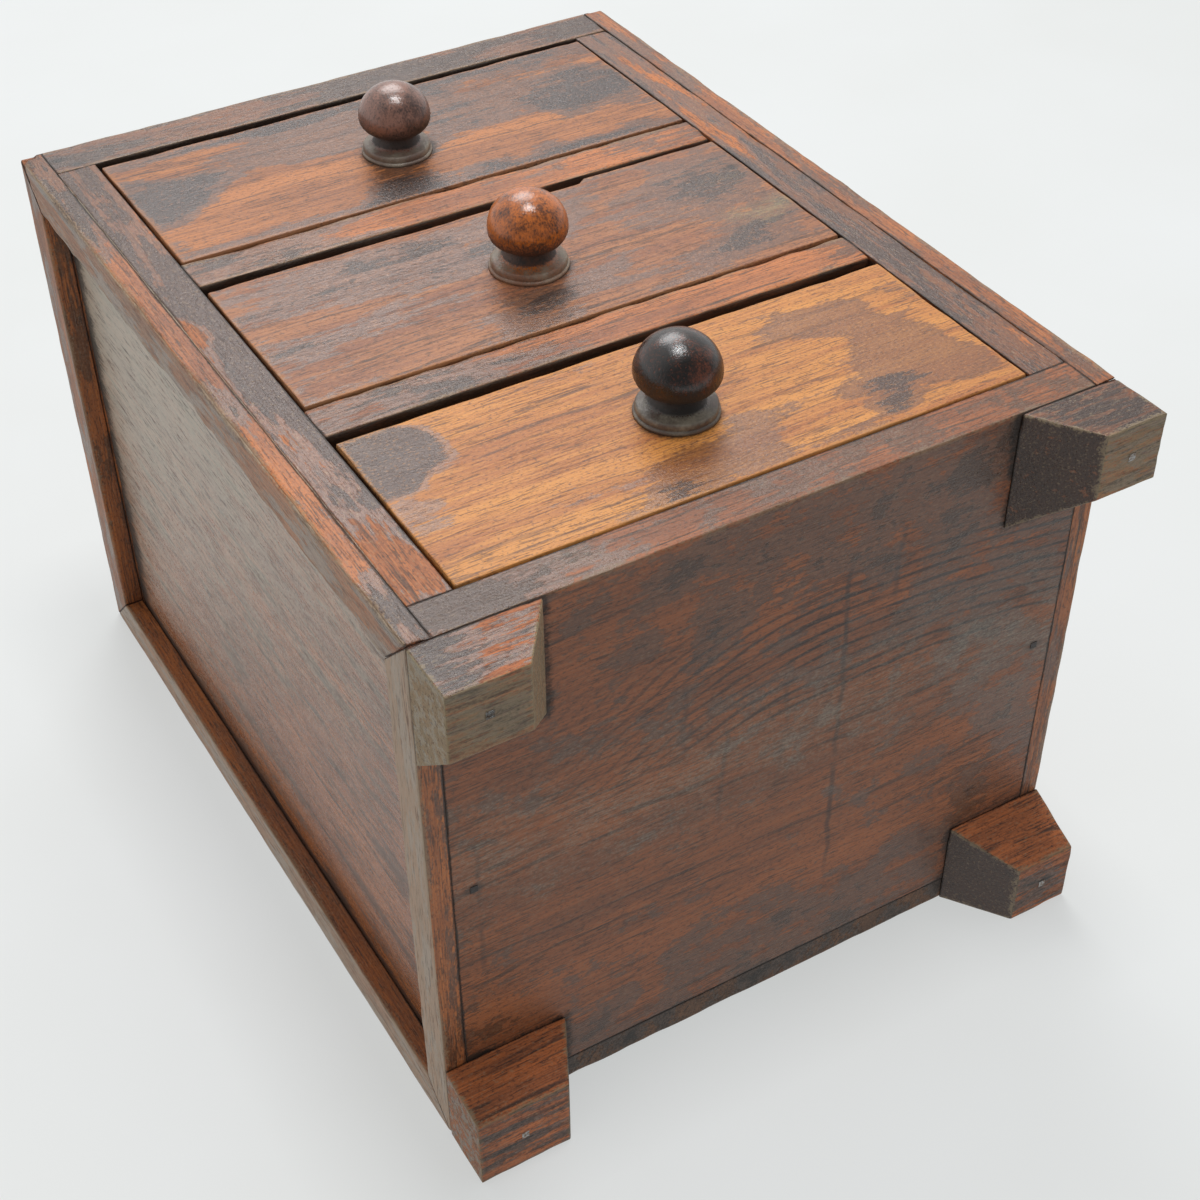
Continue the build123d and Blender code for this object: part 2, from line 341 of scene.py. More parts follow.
# Patches on the underside, with the second place and half length towards the back
UNDERSIDE_PATCHES = [
    (40, -60, 80, 24, 0.16),
    (70, -10, 30, 60, 0.15),
    (-20, 30, 70, 40, -0.15),
    (-60, 0, 30, 30, -0.1),
    (-10, 78, 90, 26, 0.16),
]

# Axes along the grain and then across it, by the direction of the grain
GRAIN_ORDERS = {"x": (0, 2, 1), "y": (1, 2, 0), "z": (2, 0, 1)}

# Dirt (in places painted shade), thin dust (in places a painted sheen) and stains on wood, thin and thick
# dust on knobs, rusty and bright iron, and floor paint
DIRT_AND_SHADE = srgb(32, 26, 22)
DARK_DUST_AND_SHEEN = srgb(90, 76, 58)
INK = srgb(36, 33, 34)
KNOB_DUST = (srgb(96, 86, 76), srgb(156, 146, 128))
DARK_IRON = (srgb(44, 32, 26), srgb(34, 30, 29))
WORN_IRON = (srgb(112, 92, 74), srgb(168, 168, 166))
FLOOR_PAINT = (srgb(236, 239, 240), srgb(228, 230, 228))

# Roughness of thin varnish, depth of the bumps in a material, and shine of the knobs
FILM_ROUGHNESS = 0.32
BUMP_DEPTH = 0.1
KNOB_SPECULAR = 0.75


class Nodes:
    """Writes the nodes of a material or of the world, and starts with none."""

    def __init__(self, owner):
        owner.use_nodes = True
        self.tree = owner.node_tree
        self.tree.nodes.clear()

    def node(self, kind, inputs, output=0, **settings):
        """Adds a node and returns one of its outputs."""
        node = self.tree.nodes.new(kind)
        for key, value in settings.items():
            setattr(node, key, value)
        for key, value in inputs.items():
            if isinstance(value, bpy.types.NodeSocket):
                self.tree.links.new(value, node.inputs[key])
            else:
                node.inputs[key].default_value = value
        return node.outputs[output]

    def math(self, operation, *values):
        """The result of a calculation with values or outputs."""
        return self.node("ShaderNodeMath", dict(enumerate(values)), operation=operation)

    def scaled(self, value, share):
        """A value times a share."""
        return self.math("MULTIPLY", value, share)

    def total(self, *values):
        """The sum of some values."""
        result = values[0]
        for value in values[1:]:
            result = self.math("ADD", result, value)
        return result

    def spread(self, value, amount):
        """A value from 0 to 1 as a change of up to half an amount, up or down."""
        return self.math("MULTIPLY_ADD", value, amount, -amount / 2)

    def rise(self, value, start, end):
        """0 up to start, 1 from end on, and a smooth step between them."""
        limits = {"Value": value, "From Min": start, "From Max": end}
        return self.node("ShaderNodeMapRange", limits, interpolation_type="SMOOTHSTEP")

    def blend(self, factor, first, second):
        """A colour between two."""
        return self.node("ShaderNodeMix", {0: factor, 6: first, 7: second}, output=2, data_type="RGBA")

    def layer(self, colour, over, cover, share):
        """A colour with a share of another over it, as far as the cover goes."""
        return self.blend(self.scaled(cover, share), colour, over)

    def noise(self, vector, detail=2.0, roughness=0.5):
        """Cloudy noise, one cell to a unit of its coordinates."""
        inputs = {"Vector": vector, "Scale": 1.0, "Detail": detail, "Roughness": roughness}
        return self.node("ShaderNodeTexNoise", inputs)

    def attribute(self, name):
        """A mark of the mesh."""
        return self.node("ShaderNodeAttribute", {}, output="Fac", attribute_name=name)

    def show(self, surface, kind="Material"):
        """Joins a surface to the output."""
        output = self.tree.nodes.new(f"ShaderNodeOutput{kind}")
        self.tree.links.new(surface, output.inputs["Surface"])


class Shader(Nodes):
    """Writes the nodes of one material with a bumpy surface."""

    def __init__(self, name):
        self.material = bpy.data.materials.new(name)
        super().__init__(self.material)

    def finish(self, colour, roughness, height, specular=0.5):
        """The shader and the material's output, with bumps as deep as the height says."""
        bump = {"Height": height, "Strength": 1.0, "Distance": BUMP_DEPTH * MM}
        inputs = {"Base Color": colour, "Roughness": roughness, "Normal": self.node("ShaderNodeBump", bump)}
        self.show(self.node("ShaderNodeBsdfPrincipled", {**inputs, "Specular IOR Level": specular}))
        return self.material


class Wood(Shader):
    """Writes the nodes of one wood, by the place in millimetres along its grain and then across it."""

    def __init__(self, name, grain, seed):
        super().__init__(name)
        self.order, self.seed = GRAIN_ORDERS[grain], seed
        place = self.node("ShaderNodeTexCoord", {}, output="Object")
        split = self.node("ShaderNodeSeparateXYZ", {0: place}).node
        self.place = [self.math("DIVIDE", split.outputs[axis], MM) for axis in self.order]

    def cells(self, lengths, shift=0.0, **settings):
        """Cloudy noise whose cells have these lengths along and across the grain."""
        parts = [self.math("MULTIPLY_ADD", axis, 1 / length, self.seed + shift)
                 for axis, length in zip(self.place, lengths)]
        return self.noise(self.node("ShaderNodeCombineXYZ", dict(enumerate(parts))), **settings)

    def rings(self, value, scale, shift=0.0, detail=1.0):
        """Noise along one line, for growth rings."""
        inputs = {"W": self.math("ADD", value, self.seed + shift), "Scale": scale, "Detail": detail}
        return self.node("ShaderNodeTexNoise", inputs, noise_dimensions="1D")


def grain_lines(wood):
    """Growth rings cut by the board's surface: their broad tone, and thin dark lines."""
    _, across, through = wood.place
    warp = wood.cells((90.0, 24.0, 24.0), detail=3.0)
    slant = wood.scaled(through, 0.8)
    ring = wood.total(across, slant, wood.spread(warp, 14.0))
    tone = wood.rings(ring, 0.13)
    lines = wood.rise(wood.rings(ring, 0.45, 5.0, detail=2.0), 0.60, 0.70)
    breaks = wood.cells((18.0, 4.0, 4.0), 31.0, detail=2.0)
    return tone, wood.scaled(lines, wood.rise(breaks, 0.36, 0.60))


def arched_lines(wood):
    """Dark lines of the underside: arched grain, steep and faint on the left, and the joint of two boards."""
    along, _, through = wood.place
    off_peak = wood.math("SUBTRACT", along, ARCH_PEAK)
    beyond = wood.math("GREATER_THAN", off_peak, 0.0)
    bend = wood.node("ShaderNodeMix", {"Factor": beyond, "A": ARCH_BENDS[0], "B": ARCH_BENDS[1]})
    arch = wood.scaled(wood.scaled(off_peak, off_peak), bend)
    warp = wood.cells((60.0, 30.0, 14.0), detail=3.0)
    level = wood.total(through, wood.scaled(arch, -1.0), wood.spread(warp, 6.0))
    wave = wood.math("SINE", wood.scaled(level, 2 * pi / ARCH_SPACING))
    jitter = wood.cells((12.0, 5.0, 5.0), 3.0, detail=5.0)
    lines = wood.rise(wood.total(wave, wood.spread(jitter, 1.2)), 0.45, 1.0)
    first, last = ARCH_BAND
    inside = wood.scaled(wood.rise(through, first - 6.0, first + 12.0),
                         wood.rise(through, last + 0.6, last - 0.6))
    clear = wood.rise(along, -95.0, 10.0)
    joint = wood.rise(wood.math("ABSOLUTE", wood.math("SUBTRACT", through, last)), 0.6, 0.1)
    joint = wood.scaled(wood.scaled(joint, wood.rise(along, 0.0, -40.0)), 0.6)
    lines = wood.scaled(lines, wood.scaled(inside, clear))
    return wood.math("MAXIMUM", joint, lines)


def drips(wood):
    """Stains that ran across the grain of the underside in a few thin lines."""
    along, _, through = wood.place
    bends = wood.cells((40.0, 40.0, 18.0), 51.0, detail=3.0)
    gaps = wood.cells((9.0, 30.0, 14.0), 57.0, detail=3.0)
    swayed = wood.math("ADD", along, wood.spread(bends, 6.0))
    dark = 0.0
    for side, first, last, depth in DRIPS:
        line = wood.rise(wood.math("ABSOLUTE", wood.math("SUBTRACT", swayed, side)), 1.2, 0.2)
        run = wood.scaled(wood.rise(through, first - 6.0, first + 4.0),
                          wood.rise(through, last + 2.0, last - 20.0))
        dark = wood.math("MAXIMUM", dark, wood.scaled(wood.scaled(line, run), depth))
    return wood.scaled(dark, wood.rise(gaps, 0.32, 0.5))


def nail_spots(wood, spots):
    """Dark round spots of old nails, drawn out along the grain."""
    dark = 0.0
    for spot in spots:
        away = [wood.scaled(wood.math("SUBTRACT", part, spot[axis]), 1 / NAIL_SPOT_RADIUS)
                for part, axis in zip(wood.place, wood.order)]
        smear = wood.node("ShaderNodeCombineXYZ", {0: wood.scaled(away[0], 0.45), 1: away[1], 2: away[2]})
        hole = wood.node("ShaderNodeCombineXYZ", dict(enumerate(away)))
        for shape, depth in ((smear, 0.5), (hole, 0.9)):
            distance = wood.node("ShaderNodeVectorMath", {0: shape}, output="Value", operation="LENGTH")
            dark = wood.math("MAXIMUM", dark, wood.scaled(wood.rise(distance, 1.3, 0.5), depth))
    return dark


def varnish_breaks(wood, look, blotch):
    """Large and small noise that breaks up the old varnish, up or down from none."""
    streak = wood.cells((look["patch"][0], 1.4, 1.4), 17.0, detail=5.0, roughness=0.65)
    chips = wood.cells((2.4, 1.0, 1.0), 29.0, detail=4.0, roughness=0.6)
    return wood.total(wood.spread(blotch, 1.3), wood.spread(streak, 0.45), wood.spread(chips, 0.3))


def bare_wood(wood, look):
    """Colour of the wood without its varnish, and its fibre, pores and grain lines."""
    tone, lines = grain_lines(wood)
    cloud = wood.cells((70.0, 26.0, 26.0), 23.0, detail=3.0)
    fibre = wood.cells((22.0, 0.6, 0.6), detail=4.0, roughness=0.65)
    dashes = wood.cells((6.5, 0.45, 0.45))
    flock = wood.cells((26.0, 7.0, 7.0), 41.0, detail=2.0)
    pores = wood.rise(wood.total(dashes, wood.spread(flock, 0.3)), 0.56, 0.66)
    shade = wood.total(wood.scaled(tone, 0.25), wood.scaled(fibre, 0.45), wood.scaled(cloud, 0.3))
    colour = wood.blend(wood.rise(shade, 0.38, 0.60), look["light"], look["deep"])
    colour = wood.layer(colour, look["line"], lines, 0.72)
    colour = wood.layer(colour, look["line"], pores, 0.65)
    relief = wood.total(wood.scaled(pores, -0.35), wood.scaled(lines, -0.3), wood.scaled(fibre, 0.35))
    return colour, relief


def varnished(wood, look, colour, blotch):
    """Colour with a film and a crust of old varnish in patches, and how much of each lies there."""
    breaks = varnish_breaks(wood, look, blotch)
    field = wood.total(wood.attribute("stain"), breaks)
    coat = wood.math("MAXIMUM", field, wood.total(wood.attribute("film"), wood.scaled(breaks, 0.8)))
    film = wood.rise(coat, 0.28, 0.36)
    tide = wood.math("SUBTRACT", film, wood.rise(coat, 0.33, 0.44))
    crust = wood.rise(field, 0.46, 0.54)
    colour = wood.layer(colour, look["film"], film, 0.74)
    colour = wood.layer(colour, look["line"], tide, 0.3)
    colour = wood.layer(colour, look["crust"], crust, 0.8)
    return colour, film, crust


def stained(wood, colour):
    """Colour of the underside with its dark drips and arched grain."""
    colour = wood.layer(colour, INK, drips(wood), 0.8)
    return wood.layer(colour, INK, arched_lines(wood), 0.85)


def speckled(wood, look, colour):
    """Colour with dark and pale specks."""
    specks = wood.cells((1.1, 0.6, 0.6), 61.0, detail=3.0, roughness=0.6)
    colour = wood.layer(colour, look["line"], wood.rise(specks, 0.48, 0.3), 0.65)
    return wood.layer(colour, look["worn"], wood.rise(specks, 0.54, 0.72), 0.45)


def soiled_and_shaded(wood, look, colour, blotch, grit):
    """Colour with rubbed edges, dust that is in places a painted sheen, and dirt that is in places painted
    shade, and how much of each lies there.
    """
    scuffs = wood.total(wood.attribute("wear"), wood.spread(blotch, 0.9), wood.spread(grit, 0.8))
    rubbed = wood.rise(scuffs, 0.78, 0.98)
    colour = wood.layer(colour, look["worn"], rubbed, 0.6)
    # The dust mark is real dust, and on the sunk panels and the underside also a painted sheen
    dust_and_sheen_level = wood.total(wood.attribute("dust"), wood.spread(blotch, 0.5), wood.spread(grit, 0.7))
    dust_and_sheen_mask = wood.rise(dust_and_sheen_level, 0.25, 0.85)
    lay = wood.cells((7.0, 0.8, 0.8), 71.0, detail=5.0, roughness=0.7)
    thick = wood.total(lay, wood.scaled(dust_and_sheen_mask, 0.08))
    dust = wood.blend(wood.rise(thick, 0.4, 0.58), DARK_DUST_AND_SHEEN, look["dust"])
    colour = wood.layer(colour, dust, dust_and_sheen_mask, 0.75)
    # The dirt mark is real dirt in joints and on tips, and painted shade in the panels' corners, the drawer
    # gaps and round the feet
    grime_and_shade = wood.total(wood.attribute("dirt_and_shade"), wood.spread(grit, 0.8), wood.spread(blotch, 1.6))
    dirt_and_shade_mask = wood.rise(grime_and_shade, 0.38, 0.95)
    colour = wood.layer(colour, DIRT_AND_SHADE, dirt_and_shade_mask, 0.85)
    return colour, rubbed, dust_and_sheen_mask, dirt_and_shade_mask


def old_wood(name, look, grain, seed):
    """Old wood in layers: bare wood, varnish in patches, stains, specks, rubbed edges, dust that is in places
    a painted sheen, and dirt that is in places painted shade.
    """
    wood = Wood(name, grain, seed)
    length, width = look["patch"]
    blotch = wood.cells((length, width, width), 9.0, detail=8.0, roughness=0.62)
    grit = wood.cells((0.9, 0.6, 0.6), detail=3.0, roughness=0.6)

    colour, relief = bare_wood(wood, look)
    colour, film, crust = varnished(wood, look, colour, blotch)
    if name == "bottom_board":
        colour = stained(wood, colour)
    colour = speckled(wood, look, colour)
    colour, rubbed, dust_and_sheen_mask, dirt_and_shade_mask = soiled_and_shaded(wood, look, colour, blotch, grit)
    if name in NAIL_SPOTS:
        colour = wood.blend(nail_spots(wood, NAIL_SPOTS[name]), colour, DIRT_AND_SHADE)

    bare = wood.math("SUBTRACT", look["polish"], wood.attribute("gloss"))
    polish = wood.node("ShaderNodeMix", {"Factor": film, "A": bare, "B": FILM_ROUGHNESS})
    changes = [wood.scaled(layer, change) for layer, change in
               ((crust, -0.03), (rubbed, 0.12), (dust_and_sheen_mask, 0.12), (dirt_and_shade_mask, 0.25))]
    roughness = wood.total(polish, *changes, wood.spread(grit, 0.16))
    grains = wood.scaled(crust, wood.spread(grit, 1.1))
    height = wood.total(relief, wood.scaled(crust, 0.25), wood.spread(grit, 1.0), grains)
    return wood.finish(colour, roughness, height)


def nail_iron(name, rusty, bright):
    """Nail heads between rusty and bright iron."""
    shader = Shader(name)
    place = shader.node("ShaderNodeTexCoord", {}, output="Object")
    spot = shader.node("ShaderNodeVectorMath", {0: place, "Scale": 1.2 / MM}, operation="SCALE")
    rust = shader.noise(spot, detail=4.0)
    colour = shader.blend(shader.rise(rust, 0.4, 0.62), bright, rusty)
    roughness = shader.math("MULTIPLY_ADD", rust, 0.4, 0.3)
    return shader.finish(colour, roughness, rust)


def turned_wood(name, light, dark, cover, seed):
    """A handled knob: rubbed wood with dark polish in patches, a neck darkened by dirt and painted shade,
    painted shade under its ball, and a dusty flange.
    """
    wood = Wood(name, "y", seed)
    mottle = wood.cells((9.0, 9.0, 9.0), detail=8.0, roughness=0.7)
    fibre = wood.cells((7.0, 0.5, 0.5), detail=3.0)
    grit = wood.cells((0.8, 0.5, 0.5), detail=3.0, roughness=0.6)
    field = wood.total(wood.spread(mottle, 1.8), wood.spread(fibre, 0.5), wood.spread(grit, 0.3))
    colour = wood.blend(wood.rise(field, 0.25 - cover, 0.75 - cover), light, dark)
    colour = wood.layer(colour, DIRT_AND_SHADE, wood.rise(grit, 0.54, 0.66), 0.5)
    colour = wood.layer(colour, light, wood.rise(grit, 0.44, 0.28), 0.5)
    dust_and_sheen_level = wood.total(wood.attribute("dust"), wood.spread(grit, 0.7), wood.spread(mottle, 0.7))
    dust_and_sheen_mask = wood.rise(dust_and_sheen_level, 0.3, 0.8)
    dust = wood.blend(wood.rise(mottle, 0.4, 0.62), *KNOB_DUST)
    colour = wood.layer(colour, dust, dust_and_sheen_mask, 0.75)
    # A knob's dirt mark is dirt and painted shade in its neck and painted shade under its ball
    grime_and_shade = wood.total(wood.attribute("dirt_and_shade"), wood.spread(grit, 0.5), wood.spread(mottle, 0.4))
    dirt_and_shade_mask = wood.rise(grime_and_shade, 0.4, 0.8)
    colour = wood.layer(colour, DIRT_AND_SHADE, dirt_and_shade_mask, 0.85)
    polish = wood.math("MULTIPLY_ADD", grit, 0.2, 0.11)
    roughness = wood.total(polish, wood.scaled(dirt_and_shade_mask, 0.4), wood.scaled(dust_and_sheen_mask, 0.3))
    height = wood.total(wood.spread(grit, 0.6), wood.spread(fibre, 0.4), wood.spread(mottle, 1.0))
    return wood.finish(colour, roughness, height, specular=KNOB_SPECULAR)


# Board shapes

def cut_places(low, high, step):
    """Places to cut a board along one axis: close together at its two edges, then evenly."""
    rims = [inset for inset in EDGE_CUTS if inset < 0.45 * (high - low)]
    start, end = low + rims[-1], high - rims[-1]
    count = max(1, round((end - start) / step))
    middle = [start + (end - start) * i / count for i in range(1, count)]
    return [low + inset for inset in rims] + middle + [high - inset for inset in reversed(rims)]


def block_surface(cuts):
    """Points and outward quads of the surface of a block that is cut at places along its three axes."""
    points, quads, index = [], [], {}
    last = [len(places) - 1 for places in cuts]

    def corner(axis, side, first, second):
        key = [0, 0, 0]
        key[axis], key[(axis + 1) % 3], key[(axis + 2) % 3] = side, first, second
        key = tuple(key)
        if key not in index:
            index[key] = len(points)
            points.append(Vector([places[i] for places, i in zip(cuts, key)]))
        return index[key]

    for axis in range(3):
        for side in (0, last[axis]):
            for i in range(last[(axis + 1) % 3]):
                for j in range(last[(axis + 2) % 3]):
                    ring = [(i, j), (i + 1, j), (i + 1, j + 1), (i, j + 1)]
                    if side == 0:
                        ring.reverse()
                    quads.append([corner(axis, side, *place) for place in ring])
    return points, quads


def near(distance, reach):
    """1 at no distance, down to 0 at the reach and beyond."""
    return max(0.0, 1.0 - max(0.0, distance) / reach)


def step_up(value, start, end):
    """0 up to start, 1 from end on, and a smooth step between them."""
    part = min(max((value - start) / (end - start), 0.0), 1.0)
    return part * part * (3.0 - 2.0 * part)


class Board:
    """A board that fills its node's box, with worn edges and an uneven surface."""

    def __init__(self, node, shown, step, cover, seed, worn=WORN_RADIUS, proud="", trim=0.0):
        self.node = node
        self.low, self.high = [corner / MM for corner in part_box(node)]
        self.low.x += trim
        self.high.x -= trim
        self.shown, self.proud = self.faces(shown), self.faces(proud)
        every = [(axis, upper) for axis in range(3) for upper in (False, True)]
        self.hidden = [face for face in every if face not in self.shown]
        self.worn = worn
        self.drift = Vector((seed, 2.0 * seed, 3.0 * seed))
        cuts = [cut_places(self.low[axis], self.high[axis], step) for axis in range(3)]
        self.places, self.quads = block_surface(cuts)
        self.points = []
        self.marks = {name: [] for name in MARKS}
        for place in self.places:
            self.add_point(place, cover)

    @staticmethod
    def faces(words):
        """Faces named like "-y +z" as pairs of axis and side."""
        return [(AXES.index(word[1]), word[0] == "+") for word in words.split()]

    def depth(self, face, place):
        """Distance of a place from one of the faces."""
        axis, upper = face
        return self.high[axis] - place[axis] if upper else place[axis] - self.low[axis]

    def edge_nearness(self, place, others, reach):
        """How near a place is to the edges where the faces that show meet others, from 0 to 1."""
        best = 0.0
        shown = [face for face in self.shown if self.depth(face, place) < reach]
        others = [face for face in others if self.depth(face, place) < reach]
        for face in shown:
            for other in others:
                if face[0] != other[0]:
                    gap = hypot(self.depth(face, place), self.depth(other, place))
                    best = max(best, near(gap, reach))
        return best

    def add_point(self, place, cover):
        """One point of the worn surface, with its marks."""
        wear = self.edge_nearness(place, self.shown, WEAR_REACH)
        seam = self.edge_nearness(place, self.hidden, SEAM_REACH)
        radius = SEAM_RADIUS
        if wear > WEAR_START:
            chips = LONG_CHIPS * noise.noise(place / LONG_CHIP_LENGTH + self.drift)
            chips += SHORT_CHIPS * noise.noise(place / SHORT_CHIP_LENGTH - self.drift)
            radius += self.worn * max(0.0, 0.5 + chips)
        radius = min(radius, 0.4 * min(self.high - self.low))
        self.points.append(self.pressed(place, self.rounded(place, radius)))
        self.marks["wear"].append(wear)
        self.marks["dirt_and_shade"].append(step_up(seam, 0.75, 1.0))
        for name in ("dust", "gloss"):
            self.marks[name].append(0.0)
        on_front = place.y - self.low.y < PATCH_DEPTH
        for name, patches, level in (("stain", PATCHES, cover), ("film", FILM_PATCHES, 0.0)):
            change = patch_level(patches.get(self.node, []), place.x, place.z) if on_front else 0.0
            self.marks[name].append(level + change)

    def mark(self, name, amount, face, adds=False):
        """Raises a mark on one face to an amount, or adds it. The amount may depend on the place."""
        values = self.marks[name]
        for i, place in enumerate(self.places):
            if self.depth(face, place) < FACE_DEPTH:
                change = amount(place) if callable(amount) else amount
                values[i] = values[i] + change if adds else max(values[i], change)

    def rounded(self, place, radius):
        """A place of the surface, moved in where the edges are rounded."""
        core = Vector([min(max(c, l + radius), h - radius) for c, l, h in zip(place, self.low, self.high)])
        out = place - core
        return core + out.normalized() * radius if out.length > radius else place.copy()

    def pressed(self, place, point):
        """A point pressed in a little, as an old hand-planed board is."""
        for face in self.shown + self.hidden:
            if abs(self.depth(face, place)) > 1e-6:
                continue
            axis, upper = face
            inset = JOINT_GAP
            if face in self.shown:
                inset += SWELL * (0.5 + 0.5 * noise.noise(place / SWELL_LENGTH + self.drift))
                inset += RIPPLE * (0.5 + 0.5 * noise.noise(place / RIPPLE_LENGTH - self.drift))
            if face in self.proud:
                inset -= FRONT_PROUD
            point[axis] += -inset if upper else inset
        return point


def patch_level(patches, first, second):
    """What patches add or take away at a place on a board, with wavering outlines."""
    level = 0.0
    waver = noise.noise_vector(Vector((first, second, 0.0)) / PATCH_WAVER_LENGTH) * PATCH_WAVER
    for x, y, half_x, half_y, change in patches:
        away = hypot((first + waver.x - x) / half_x, (second + waver.y - y) / half_y)
        level += change * near(away, PATCH_FADE) ** PATCH_FALL
    return level


def mitre(board, length_axis, width_axis, outer_high):
    """Cuts the ends of a strip back at 45 degrees towards its inner edge."""
    length, width = AXES.index(length_axis), AXES.index(width_axis)
    middle = (board.low[length] + board.high[length]) / 2
    half = (board.high[length] - board.low[length]) / 2
    for point in board.points:
        inset = board.high[width] - point[width] if outer_high else point[width] - board.low[width]
        point[length] = middle + (point[length] - middle) * (half - inset) / half


def taper(board, corner):
    """Draws a corner foot in towards its tip on its two inner sides."""
    tip_width, tip_depth = FOOT_TIPS[corner]
    low, high = board.low, board.high
    outer = [low.x if "left" in corner else high.x, low.y if "front" in corner else high.y]
    tips = (tip_width / (high.x - low.x), tip_depth / (high.y - low.y))
    for point in board.points:
        rise = (point.z - low.z) / (high.z - low.z)
        for axis in (0, 1):
            share = tips[axis] + (1 - tips[axis]) * rise
            point[axis] = outer[axis] + (point[axis] - outer[axis]) * share


def raise_rim(board, lift):
    """Lifts the upper edge of a drawer front by a height that changes along it."""
    for place, point in zip(board.places, board.points):
        share = step_up(place.z, board.high.z - RIM_REACH, board.high.z)
        point.z += lift(place.x) * share


def add_piece(node, points, quads, marks, material):
    """A mesh that stands for a CAD node and rides on the same body."""
    mesh = bpy.data.meshes.new(f"worn_{node}")
    mesh.from_pydata([point * MM for point in points], [], quads)
    mesh.shade_smooth()
    for name, values in marks.items():
        mesh.attributes.new(name, "FLOAT", "POINT").data.foreach_set("value", values)
    mesh.materials.append(material)
    piece = bpy.data.objects.new(f"worn_{node}", mesh)
    bpy.context.scene.collection.objects.link(piece)
    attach(piece, body_of(frame["nodes"][node])[0])
    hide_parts(node)
    return piece


# The drawers from the top down
DRAWERS = ("top", "middle", "bottom")

# Boards of the case: finish, direction of the grain, and faces that show
CASE_BOARDS = {
    "top_board": ("top", "x", "-y +z -z"),
    "bottom_board": ("underside", "x", "-y -z"),
    "back_board": ("back", "z", "+y -z +z"),
    "left_side_board": ("side", "z", "-x -y"),
    "right_side_board": ("side", "z", "+x -y"),
    "lower_shelf": ("case", "x", "-y +z -z"),
    "upper_shelf": ("case", "x", "-y +z -z"),
}

# Faces inside the gaps above and below the drawers
GAP_FACES = {"top_board": "-z", "lower_shelf": "-z +z", "upper_shelf": "-z +z"}

# Boards of each drawer behind its front
DRAWER_BOARDS = {
    "left_side": ("y", "-x +x +z -z"),
    "right_side": ("y", "-x +x +z -z"),
    "back": ("x", "-y +y +z"),
    "bottom": ("x", "+z -z"),
}

# How far the upper edges of the drawer fronts stand higher towards the right, by the place from the middle,
# and how much of a front below its edge is drawn out for it
RIM_REACH = 8.0
RIM_LIFTS = {
    "top": lambda x: 1.2 * step_up(x, -77.0, 77.0),
    "middle": lambda x: 1.8 * step_up(x, 32.5, 34.0),
    "bottom": lambda x: 0.0,
}

# Strips of a side frame: direction of their length, direction across, and whether they lie at its high end
STRIPS = {
    "front": ("z", "y", False),
    "back": ("z", "y", True),
    "bottom": ("y", "z", False),
    "top": ("y", "z", True),
}


def dress(board, look_name, grain, seed):
    """A board as a piece with its own wood."""
    material = old_wood(board.node, FINISHES[look_name], grain, seed)
    return add_piece(board.node, board.points, board.quads, board.marks, material)


def add_case_board(node, look_name, grain, shown, seed):
    """One board of the case."""
    trim, worn = (HOUSING_DEPTH, SHELF_WORN_RADIUS) if node.endswith("shelf") else (0.0, WORN_RADIUS)
    board = Board(node, shown, FINE_STEP, FINISHES[look_name]["cover"], seed, worn=worn, trim=trim)
    if node.endswith("side_board"):
        soil_and_shade_panel(board, node.split("_")[0])
    if node == "bottom_board":
        soil_and_shade_underside(board)
    if node == "back_board":
        board.mark("dirt_and_shade", BACK_EDGE_DIRT, LOWER_FACE)
    # Dirt and painted shade in the gaps above and below the drawers, fading towards the back
    start = board.low.y + GAP_DIRT_AND_SHADE_START
    for face in Board.faces(GAP_FACES.get(node, "")):
        board.mark("dirt_and_shade", lambda place: GAP_DIRT_AND_SHADE * near(abs(place.y - start), GAP_DIRT_AND_SHADE_DEPTH), face)
    return dress(board, look_name, grain, seed)


def soil_and_shade_panel(board, side):
    """Painted shade where a side board meets the top and back strips, and dust that thickens to the front and
    top, where it also stands in for a painted sheen.

    The board's own edges lie under the strips and don't wear."""
    board.marks["wear"] = [0.0] * len(board.places)
    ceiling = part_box(f"{side}_top_strip")[0].z / MM
    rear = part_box(f"{side}_back_strip")[0].y / MM
    outer = (0, side == "right")
    # Painted shade: dark bands on the panel below the top strip and before the back strip
    board.mark("dirt_and_shade", lambda place: PANEL_SHADE * near(ceiling - place.z, PANEL_SHADE_BELOW), outer)
    board.mark("dirt_and_shade", lambda place: PANEL_SHADE * near(rear - place.y, PANEL_SHADE_BEFORE), outer)
    size = board.high - board.low

    def dust_and_sheen_thickness(place):
        forward, upward = (board.high.y - place.y) / size.y, (place.z - board.low.z) / size.z
        return PANEL_DUST_AND_SHEEN_FORWARD * forward + PANEL_DUST_AND_SHEEN_UPWARD * upward

    # Dust that thickens to the front and top, where it also stands in for a painted sheen
    board.mark("dust", dust_and_sheen_thickness, outer)
    board.mark("gloss", PANEL_GLOSS, outer)
    board.mark("stain", PANEL_RUBBED, outer, adds=True)


